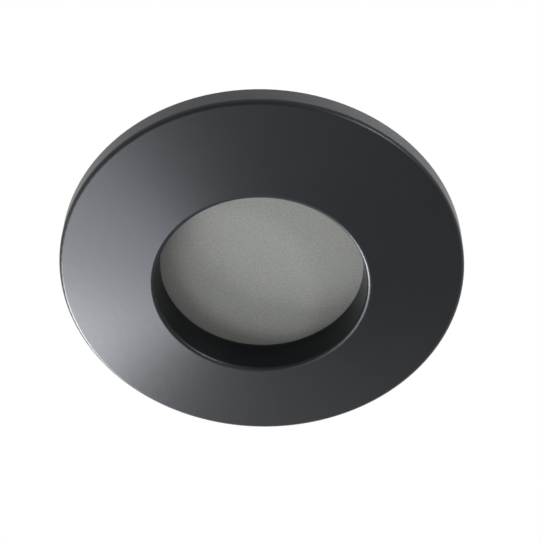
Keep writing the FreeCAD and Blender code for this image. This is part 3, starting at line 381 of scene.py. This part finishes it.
def solder_mask(name, mask, track):
    """Circuit board: solder mask over raised copper tracks."""
    recipe = Recipe(name)
    tracks = recipe.add("ShaderNodeTexBrick", {
        "Vector": recipe.place, "Scale": 420.0, "Mortar Size": 0.03, "Mortar Smooth": 0.2,
        "Color1": (1.0, 1.0, 1.0), "Color2": (0.8, 0.8, 0.8), "Mortar": (0.0, 0.0, 0.0)}).outputs["Fac"]
    cloud = recipe.noise(0.003, 3.0)
    recipe.set(
        Base_Color=recipe.shades(tracks, (0.0, track), (1.0, mask)),
        Roughness=recipe.span(cloud, 0.3, 0.7, 0.30, 0.42),
    )
    recipe.relief((tracks, 0.00002), (cloud, 0.000008))
    return recipe.finish


def dress(finish, *nodes):
    """Give CAD nodes a finish."""
    for name in nodes:
        NODES[name].data.materials.clear()
        NODES[name].data.materials.append(finish)


def soften(width, *nodes):
    """Round the sharp edges of CAD nodes, whose own meshes stay as they are."""
    for name in nodes:
        node = NODES[name]
        weld = node.modifiers.new("weld", "WELD")
        weld.merge_threshold = 0.001 * MM
        flats = node.modifiers.new("flats", "DECIMATE")
        flats.decimate_type = "DISSOLVE"
        flats.angle_limit = math.radians(FLAT_ANGLE)
        edge = node.modifiers.new("edge", "BEVEL")
        edge.width = width
        edge.segments = 3
        edge.limit_method = "ANGLE"
        edge.angle_limit = math.radians(SHARP_ANGLE)
        shading = node.modifiers.new("shading", "WEIGHTED_NORMAL")
        shading.keep_sharp = False


def piece_from(name, points, faces, finish):
    """A new piece with smooth shading from its points and faces."""
    mesh = bpy.data.meshes.new(name)
    mesh.from_pydata(points, [], faces)
    mesh.validate()
    mesh.polygons.foreach_set("use_smooth", [True] * len(mesh.polygons))
    mesh.materials.append(finish)
    piece = bpy.data.objects.new(name, mesh)
    bpy.context.scene.collection.objects.link(piece)
    return piece


def loop_faces(rows, around, closed):
    """Quads between rows of points that go round, and between the last and the first row if closed."""
    faces = []
    for row in range(rows if closed else rows - 1):
        following = (row + 1) % rows
        for step in range(around):
            beside = (step + 1) % around
            faces.append((row * around + step, row * around + beside,
                          following * around + beside, following * around + step))
    return faces


def turned_piece(name, outline, around, finish, shift):
    """A closed outline of (radius, height) taken round Z; shift(angle, radius, height) moves its points."""
    points = []
    for radius, height in outline:
        for step in range(around):
            angle = 2.0 * math.pi * step / around
            r, z = shift(angle, radius, height)
            points.append((r * math.cos(angle), r * math.sin(angle), z))
    return piece_from(name, points, loop_faces(len(outline), around, True), finish)


def tube(name, path, radius, finish):
    """A round wire along a path, with rounded ends."""
    around = 14
    path = [Vector(point) for point in path]
    ways = [(path[min(i + 1, len(path) - 1)] - path[max(i - 1, 0)]).normalized() for i in range(len(path))]
    side = ways[0].orthogonal().normalized()
    points = []
    last = len(path) - 1
    rings = [(0, 0.0, 0.70), (0, 0.06, 0.92), (0, 0.25, 1.0)]
    rings += [(index, 0.0, 1.0) for index in range(1, last)]
    rings += [(last, -0.25, 1.0), (last, -0.06, 0.92), (last, 0.0, 0.70)]
    for index, along, swell in rings:
        way = ways[index]
        side = (side - way * side.dot(way)).normalized()
        across = way.cross(side)
        for step in range(around):
            angle = 2.0 * math.pi * step / around
            spoke = side * math.cos(angle) + across * math.sin(angle)
            points.append(path[index] + way * along * radius + spoke * radius * swell)
    faces = loop_faces(len(rings), around, False)
    faces.append(tuple(range(around))[::-1])
    faces.append(tuple(range((len(rings) - 1) * around, len(rings) * around)))
    return piece_from(name, points, faces, finish)


def seen_directly(tree):
    """1 for what the camera sees, also in a reflection or through glass, and 0 for what only lights."""
    path = tree.nodes.new("ShaderNodeLightPath")
    seen = path.outputs["Is Camera Ray"]
    for kind in ("Is Glossy Ray", "Is Transmission Ray"):
        either = tree.nodes.new("ShaderNodeMath")
        either.operation = "MAXIMUM"
        tree.links.new(seen, either.inputs[0])
        tree.links.new(path.outputs[kind], either.inputs[1])
        seen = either.outputs[0]
    return seen


def look_along(direction, up):
    """The turn that points -Z along a direction, with +Y as near to up as may be."""
    back = -direction.normalized()
    right = up.cross(back).normalized()
    return Matrix((right, back.cross(right), back)).transposed()


class DOWNLIGHT_OT_trim(bpy.types.Operator):
    """Coat the black ring and finish what fastens it"""
    bl_idname = "downlight.trim"
    bl_label = "Trim"

    def execute(self, context):
        settings = context.scene.downlight_trim
        dress(powder_coat("black_powder_coat", settings), "trim_ring")
        dress(drawn_metal("spring_steel", (0.42, 0.42, 0.43), 0.30), "glass_snap_ring")
        soften(RING_EDGE, "glass_snap_ring")
        return {"FINISHED"}


class DOWNLIGHT_OT_glass(bpy.types.Operator):
    """Frost the glass and finish its seal"""
    bl_idname = "downlight.glass"
    bl_label = "Glass"

    def execute(self, context):
        dress(blasted_glass("frosted_glass", context.scene.downlight_glass), "front_glass")
        dress(moulded("black_silicone", (0.010, 0.010, 0.010), 0.55), "lens_seal", "trim_seal", "frame_seal",
              "cover_seal", "gland_washer", "gland_seal")
        return {"FINISHED"}


class DOWNLIGHT_OT_frame(bpy.types.Operator):
    """Finish the frame that stays in the soffit"""
    bl_idname = "downlight.frame"
    bl_label = "Frame"

    def execute(self, context):
        settings = context.scene.downlight_frame
        dress(powder_coat("black_cast_frame", context.scene.downlight_trim, 0.00003), "mounting_frame")
        dress(drawn_metal("stainless_steel", (0.56, 0.56, 0.55), 0.28), "bayonet_pins", "clip_rivets",
              "clip_pin_left", "clip_pin_right", "heat_sink_screws", "led_board_screws", "terminal_screws",
              "cover_screws")
        soften(settings.soft_edge, "mounting_frame")
        soften(SCREW_EDGE, "clip_rivets", "clip_pin_left", "clip_pin_right", "heat_sink_screws",
               "cover_screws")
        soften(FINE_EDGE, "bayonet_pins", "led_board_screws", "terminal_screws")
        self.lay_gasket(settings)
        return {"FINISHED"}

    def lay_gasket(self, settings):
        """The cut foam ring: its two faces are stuck down and its cut sides swell between them."""
        low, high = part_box("soffit_gasket")
        outer, inner = high.x, GASKET_INNER
        middle, half = (low.z + high.z) / 2.0, (high.z - low.z) / 2.0
        steps, around = 7, 288
        waves, ripples, slant = 23.0, 41.0, 900.0
        outline = [(outer, low.z + (high.z - low.z) * step / steps) for step in range(steps + 1)]
        outline += [(inner, high.z - (high.z - low.z) * step / steps) for step in range(steps + 1)]

        def swell(angle, radius, height):
            free = 1.0 - ((height - middle) / half) ** 2
            wave = settings.gasket_wave * (math.sin(waves * angle)
                                           + 0.6 * math.sin(ripples * angle + 1.0 + slant * height))
            reach = settings.gasket_bulge * free + wave * 0.5 * free
            return (radius - settings.gasket_bulge - settings.gasket_wave + reach if radius == outer
                    else radius + settings.gasket_bulge - reach), height

        gasket = turned_piece("foam_gasket", outline, around, cell_foam("foam_rubber"), swell)
        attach(gasket, "housing")
        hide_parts("soffit_gasket")


class DOWNLIGHT_OT_clips(bpy.types.Operator):
    """Finish the clips"""
    bl_idname = "downlight.clips"
    bl_label = "Clips"

    def execute(self, context):
        settings = context.scene.downlight_clips
        sheet = ("clip_bracket_left", "clip_bracket_right", "clip_arm_left", "clip_arm_right")
        dress(zinc_sheet("zinc_plated_sheet"), *sheet)
        soften(settings.sheet_edge, *sheet)
        rubber = moulded("clip_rubber", (0.022, 0.022, 0.023), 0.6, depth=0.00002)
        wire = drawn_metal("spring_wire", (0.46, 0.46, 0.47), 0.26)
        for side, sign in (("right", 1.0), ("left", -1.0)):
            turn = Matrix.Rotation(0.0 if sign > 0 else math.pi, 3, "Z")
            pivot = Vector((PIVOT_X, 0.0, PIVOT_HEIGHT))
            self.wind_spring(settings, side, turn, pivot, wire)
            self.pull_sleeve(settings, side, turn, pivot, rubber)
        return {"FINISHED"}

    def wind_spring(self, settings, side, turn, pivot, finish):
        """A torsion spring: one leg on the bracket, the coil on the pin, the other leg under the arm."""
        full_turn = 2.0 * math.pi
        rise = settings.pitch / full_turn
        half_coil = settings.pitch * settings.turns / 2.0
        points_per_turn = 40

        def on_coil(angle):
            direction = Vector((math.sin(math.pi - angle), -rise / settings.coil, -math.cos(math.pi - angle)))
            spot = Vector((settings.coil * math.cos(math.pi - angle), half_coil - rise * angle,
                           settings.coil * math.sin(math.pi - angle)))
            return spot, direction.normalized()

        count = round(settings.turns * points_per_turn)
        coil = [on_coil(settings.turns * full_turn * step / count) for step in range(count + 1)]
        (first, first_way), (last, last_way) = coil[0], coil[-1]
        legs = [settings.leg * step / 6 for step in range(6, 0, -1)]
        path = [first - first_way * out for out in legs] + [spot for spot, way in coil]
        path += [last + last_way * out for out in reversed(legs)]
        spring = tube("spring_" + side, [turn @ (pivot + point) for point in path], settings.wire, finish)
        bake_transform(spring)
        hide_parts("clip_spring_" + side)

    def pull_sleeve(self, settings, side, turn, pivot, finish):
        """The soft sleeve on the arm's end, with grip ribs across it and rounded corners."""
        slope = math.radians(settings.slope)
        along = Vector((math.cos(slope), 0.0, -math.sin(slope)))
        out = Vector((math.sin(slope), 0.0, math.cos(slope)))
        half_width, low, high = SLEEVE_HALF_WIDTH, *SLEEVE_NORMAL
        middle, half_height = (low + high) / 2.0, (high - low) / 2.0
        corner = min(half_height, SLEEVE_CORNER)
        straight_y, straight_n = half_width - corner, half_height - corner
        start, end = SLEEVE_RUN
        rows, around = 96, 64
        points = []
        for row in range(rows + 1):
            part = row / rows
            distance = start + (end - start) * part
            from_end = min(distance - start, end - distance)
            inset = settings.rib_depth * (0.5 - 0.5 * math.cos(2.0 * math.pi * (settings.ribs + 1) * part))
            if from_end < SLEEVE_END:
                inset = SLEEVE_END - math.sqrt(max(SLEEVE_END ** 2 - (SLEEVE_END - from_end) ** 2, 0.0))
            for step in range(around):
                angle = 2.0 * math.pi * step / around
                y = math.copysign(straight_y, math.cos(angle)) + (corner - inset) * math.cos(angle)
                n = math.copysign(straight_n, math.sin(angle)) + (corner - inset) * math.sin(angle)
                points.append(turn @ (pivot + along * distance + out * (middle + n) + Vector((0.0, y, 0.0))))
        faces = loop_faces(rows + 1, around, False)
        faces += [tuple(range(around))[::-1], tuple(range(rows * around, (rows + 1) * around))]
        sleeve = piece_from("sleeve_" + side, points, faces, finish)
        for end_face in sleeve.data.polygons[-2:]:
            end_face.use_smooth = False
        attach(sleeve, "clip_" + side)
        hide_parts("clip_sleeve_" + side)


class DOWNLIGHT_OT_cooler(bpy.types.Operator):
    """Finish the cooling body"""
    bl_idname = "downlight.cooler"
    bl_label = "Cooling body"

    def execute(self, context):
        dress(cast_metal("cast_aluminium"), "heat_sink")
        soften(CAST_EDGE, "heat_sink")
        return {"FINISHED"}


class DOWNLIGHT_OT_module(bpy.types.Operator):
    """Finish the LED module and the driver"""
    bl_idname = "downlight.module"
    bl_label = "LED module and driver"

    def execute(self, context):
        dress(moulded("thermal_silicone", (0.36, 0.38, 0.42), 0.7), "thermal_pad")
        dress(solder_mask("led_board_white", (0.80, 0.80, 0.78), (0.70, 0.70, 0.68)), "led_board")
        dress(moulded("led_phosphor", (0.85, 0.62, 0.12), 0.35, mottle=0.0006, grain=0.0002), "led_chips")
        dress(moulded("white_reflector", (0.84, 0.84, 0.83), 0.3, vary=0.03), "reflector")
        dress(moulded("nylon", (0.68, 0.67, 0.62), 0.45, vary=0.05), "link_bush", "driver_tray")
        dress(drawn_metal("tinned_copper", (0.72, 0.72, 0.70), 0.3), "link_pins")
        dress(solder_mask("circuit_board", (0.015, 0.105, 0.045), (0.03, 0.17, 0.07)), "driver_board")
        dress(moulded("ferrite", (0.03, 0.03, 0.031), 0.5, depth=0.00003), "driver_inductor")
        dress(moulded("capacitor_sleeve", (0.015, 0.025, 0.080), 0.25, depth=0.000004), "driver_capacitor")
        dress(moulded("chip_resin", (0.016, 0.016, 0.017), 0.6), "driver_chips")
        dress(moulded("terminal_plastic", (0.62, 0.62, 0.58), 0.42, vary=0.05), "terminal_block")
        return {"FINISHED"}


class DOWNLIGHT_OT_gland(bpy.types.Operator):
    """Finish the rear cover and the cable gland"""
    bl_idname = "downlight.gland"
    bl_label = "Cover and gland"

    def execute(self, context):
        settings = context.scene.downlight_gland
        dress(powder_coat("black_cover", context.scene.downlight_trim, 0.00001), "rear_cover")
        nylon = moulded("gland_nylon", (0.020, 0.020, 0.022), 0.42, grain=0.0004, depth=0.000012)
        dress(nylon, "gland_body", "gland_locknut")
        soften(settings.edge, "gland_body", "rear_cover")
        self.mould_nut(settings, nylon)
        return {"FINISHED"}

    def mould_nut(self, settings, finish):
        """The nut: six rounded corners that fade into a ribbed dome, and the bore that the seal sits in."""
        low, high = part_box("gland_nut")
        bottom, top = low.z, high.z
        corner_reach = settings.flats / math.cos(math.pi / 6.0)
        foot = bottom + settings.edge
        shoulder = bottom + 0.50 * (top - bottom)
        curve = 1.8
        edge_steps, wall_steps, dome_steps, around = 3, 8, 10, 360
        outline = [(0.0, bottom + settings.edge * step / edge_steps) for step in range(edge_steps + 1)]
        outline += [(0.0, foot + (shoulder - foot) * step / wall_steps) for step in range(1, wall_steps + 1)]
        outline += [(step / dome_steps, shoulder + (top - shoulder) * step / dome_steps)
                    for step in range(1, dome_steps + 1)]
        points = []
        for dome, height in outline:
            for step in range(around):
                angle = 2.0 * math.pi * step / around
                from_flat = (angle + math.pi / 6.0) % (math.pi / 3.0) - math.pi / 6.0
                hexagon = settings.flats / math.cos(from_flat)
                rounded = radius = min(hexagon, corner_reach - settings.corner)
                if height < foot:
                    short = 1.0 - (height - bottom) / settings.edge
                    radius -= settings.edge * (1.0 - math.sqrt(1.0 - short * short))
                if dome:
                    ball = NUT_MOUTH + (corner_reach - NUT_MOUTH) * math.sqrt(max(1.0 - dome ** curve, 0.0))
                    radius = min(rounded, ball)
                    groove = 0.5 - 0.5 * math.cos(settings.grips * angle)
                    # The ribs rise over the dome's first quarter and run out over its last fifth.
                    fade = min(1.0, dome * 4.0, (1.0 - dome) * 5.0)
                    radius -= settings.grip_depth * groove * fade
                points.append((radius * math.cos(angle), radius * math.sin(angle), height))
        # The lip of the mouth, the chamfered bore, the seat of the seal and the inside.
        for radius, height in ((NUT_MOUTH - 0.5 * MM, top), (NUT_BORE + 0.15 * MM, top - 0.05 * MM),
                               (NUT_BORE, top - 0.25 * MM), (NUT_BORE, NUT_SEAT), (NUT_INSIDE, NUT_SEAT),
                               (NUT_INSIDE, bottom)):
            for step in range(around):
                angle = 2.0 * math.pi * step / around
                points.append((radius * math.cos(angle), radius * math.sin(angle), height))
        rows = len(points) // around
        nut = piece_from("domed_nut", points, loop_faces(rows, around, True), finish)
        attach(nut, "housing")
        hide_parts("gland_nut")


class DOWNLIGHT_OT_stage(bpy.types.Operator):
    """Set up the camera, the lamps, the floor and the backdrop"""
    bl_idname = "downlight.stage"
    bl_label = "Studio"

    def execute(self, context):
        settings = context.scene.downlight_stage
        self.set_view(context.scene)
        self.add_camera(context.scene, settings)
        self.add_floor(context.scene, settings)
        self.fill_world(context.scene, settings)
        for name in ("side", "low", "front", "top"):
            self.add_lamp(context.scene, name + "_lamp", *[
                getattr(settings, f"{name}_{what}") for what in ("place", "size", "power")
            ])
        return {"FINISHED"}

    def set_view(self, scene):
        """Show colours as they are written."""
        scene.view_settings.view_transform = "Standard"

    def add_camera(self, scene, settings):
        """A camera that looks up at the ring, as the photograph does."""
        tilt = math.radians(settings.below)
        look = Vector((0.0, math.cos(tilt), math.sin(tilt)))
        level = look_along(look, Vector((0.0, 0.0, 1.0)))
        right, up = level.col[0], level.col[1]
        aim = Vector((0.0, 0.0, SOFFIT_TRIM_FRONT)) + right * settings.aim_right + up * settings.aim_up
        camera = bpy.data.objects.new("camera", bpy.data.cameras.new("camera"))
        camera.data.lens = settings.lens
        camera.data.clip_start, camera.data.clip_end = 0.01, 50.0
        turned = level @ Matrix.Rotation(math.radians(settings.roll), 3, "Z")
        camera.matrix_world = Matrix.Translation(aim - look * settings.distance) @ turned.to_4x4()
        scene.collection.objects.link(camera)
        scene.camera = camera

    def add_floor(self, scene, settings):
        """A wide plain floor, light grey near the object and white to the eye further off."""
        half = 6.0
        mesh = bpy.data.meshes.new("floor")
        mesh.from_pydata([(-half, -half, 0), (half, -half, 0), (half, half, 0), (-half, half, 0)], [],
                         [(0, 1, 2, 3)])
        floor = bpy.data.objects.new("floor", mesh)
        floor.location.z = -settings.floor_depth
        scene.collection.objects.link(floor)
        recipe = Recipe("studio_floor")
        cloud = recipe.noise(0.4, 3.0)
        shade = tuple(settings.floor)
        recipe.set(Base_Color=recipe.shades(cloud, (0.3, darker(shade, 0.985)), (0.7, shade)), Roughness=0.9,
                   Specular_IOR_Level=0.2)
        white = recipe.add("ShaderNodeEmission", {"Color": (1.0, 1.0, 1.0), "Strength": 1.0})
        away = recipe.add("ShaderNodeVectorMath", {0: recipe.place}, operation="LENGTH").outputs["Value"]
        pale = recipe.span(away, settings.floor_depth, FLOOR_WHITE_AT * settings.floor_depth,
                           settings.floor_paleness, 1.0)
        seen = recipe.add("ShaderNodeMath", {0: seen_directly(recipe.tree), 1: pale}, operation="MULTIPLY")
        paler = recipe.add("ShaderNodeMixShader", {0: seen.outputs[0], 1: recipe.shader.outputs[0],
                                                   2: white.outputs[0]})
        recipe.feed(recipe.tree.nodes["Material Output"].inputs["Surface"], paler.outputs[0])
        mesh.materials.append(recipe.finish)

    def fill_world(self, scene, settings):
        """White to the eye and in reflections, and a soft light on everything."""
        world = bpy.data.worlds.new("studio")
        world.use_nodes = True
        scene.world = world
        nodes, links = world.node_tree.nodes, world.node_tree.links
        seen = nodes["Background"]
        seen.inputs["Color"].default_value = (1.0, 1.0, 1.0, 1.0)
        seen.inputs["Strength"].default_value = 1.0
        soft = nodes.new("ShaderNodeBackground")
        soft.inputs["Color"].default_value = (1.0, 1.0, 1.0, 1.0)
        soft.inputs["Strength"].default_value = settings.world_level
        mix = nodes.new("ShaderNodeMixShader")
        links.new(seen_directly(world.node_tree), mix.inputs["Fac"])
        links.new(soft.outputs[0], mix.inputs[1])
        links.new(seen.outputs[0], mix.inputs[2])
        links.new(mix.outputs[0], nodes["World Output"].inputs["Surface"])

    def add_lamp(self, scene, name, spot, size, power):
        """A round soft lamp that points at the middle of the object."""
        lamp = bpy.data.lights.new(name, "AREA")
        lamp.shape = "DISK"
        lamp.size = size
        lamp.energy = power
        thing = bpy.data.objects.new(name, lamp)
        turn = look_along(-Vector(spot), Vector((0.0, 0.0, 1.0)))
        thing.matrix_world = Matrix.Translation(spot) @ turn.to_4x4()
        thing.visible_camera = False
        scene.collection.objects.link(thing)


class DOWNLIGHT_PT_panel(bpy.types.Panel):
    """Settings and steps of the downlight"""
    bl_label = "Downlight"
    bl_idname = "DOWNLIGHT_PT_panel"
    bl_space_type = "VIEW_3D"
    bl_region_type = "UI"
    bl_category = "Downlight"

    def draw(self, context):
        for name, group in SETTINGS.items():
            box = self.layout.box()
            box.label(text=group.__doc__)
            for setting in group.__annotations__:
                box.prop(getattr(context.scene, name), setting)
        for step in STEPS:
            self.layout.operator(step.bl_idname)


SETTINGS = {
    "downlight_trim": TrimSettings,
    "downlight_glass": GlassSettings,
    "downlight_frame": FrameSettings,
    "downlight_clips": ClipSettings,
    "downlight_gland": GlandSettings,
    "downlight_stage": StageSettings,
}
STEPS = (DOWNLIGHT_OT_stage, DOWNLIGHT_OT_trim, DOWNLIGHT_OT_glass, DOWNLIGHT_OT_frame, DOWNLIGHT_OT_clips,
         DOWNLIGHT_OT_cooler, DOWNLIGHT_OT_module, DOWNLIGHT_OT_gland)
CLASSES = (*SETTINGS.values(), *STEPS, DOWNLIGHT_PT_panel)


def register():
    """Make the classes and settings known."""
    for one in CLASSES:
        bpy.utils.register_class(one)
    for name, group in SETTINGS.items():
        setattr(bpy.types.Scene, name, PointerProperty(type=group))


def unregister():
    """Take them away again."""
    for name in SETTINGS:
        delattr(bpy.types.Scene, name)
    for one in reversed(CLASSES):
        bpy.utils.unregister_class(one)


def main():
    """Make the classes known and run every step in order."""
    register()
    for step in STEPS:
        area, name = step.bl_idname.split(".")
        getattr(getattr(bpy.ops, area), name)()


if __name__ == "__main__":
    main()
